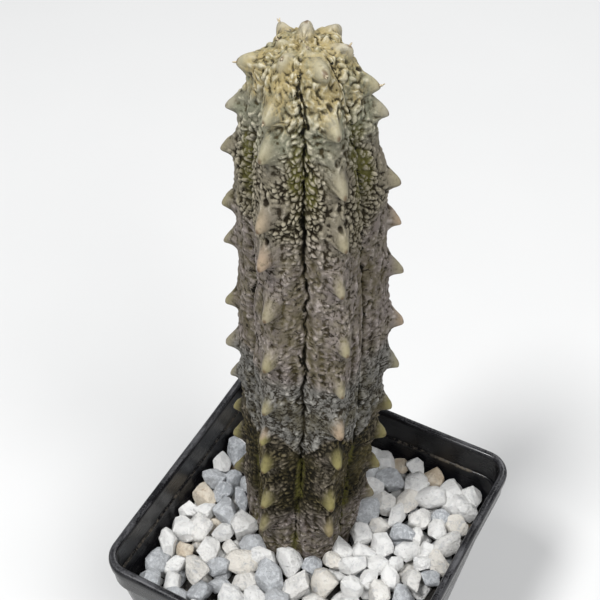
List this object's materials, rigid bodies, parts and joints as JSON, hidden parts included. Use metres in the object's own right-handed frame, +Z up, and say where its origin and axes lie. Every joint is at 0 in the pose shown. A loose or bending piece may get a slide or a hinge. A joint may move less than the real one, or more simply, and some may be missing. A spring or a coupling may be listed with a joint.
{
  "type": "potted euphorbia",
  "caption": "Grey columnar succulent with toothed ribs, standing in a square black nursery pot filled with soil under a dressing of pale stones.",
  "frame": {"origin": "middle of the pot's foot, on the surface that it stands on", "axes": "+Z up along the stem, X and Y square to the pot's walls"},
  "size_m": [0.07, 0.07, 0.1893],
  "materials": {
    "pot": "moulded black plastic, satin, with scuffed and dusty edges",
    "soil": "dark crumbly potting soil",
    "gravel": "broken and tumbled marble, white with some grey and some tan stones",
    "stem": "dry wrinkled grey bark, olive in the furrows and yellow-cream at the crown"
  },
  "bodies": {
    "root": {"pot": "pot", "soil": "soil", "gravel": "gravel", "stem": "stem"}
  },
  "joints": []
}
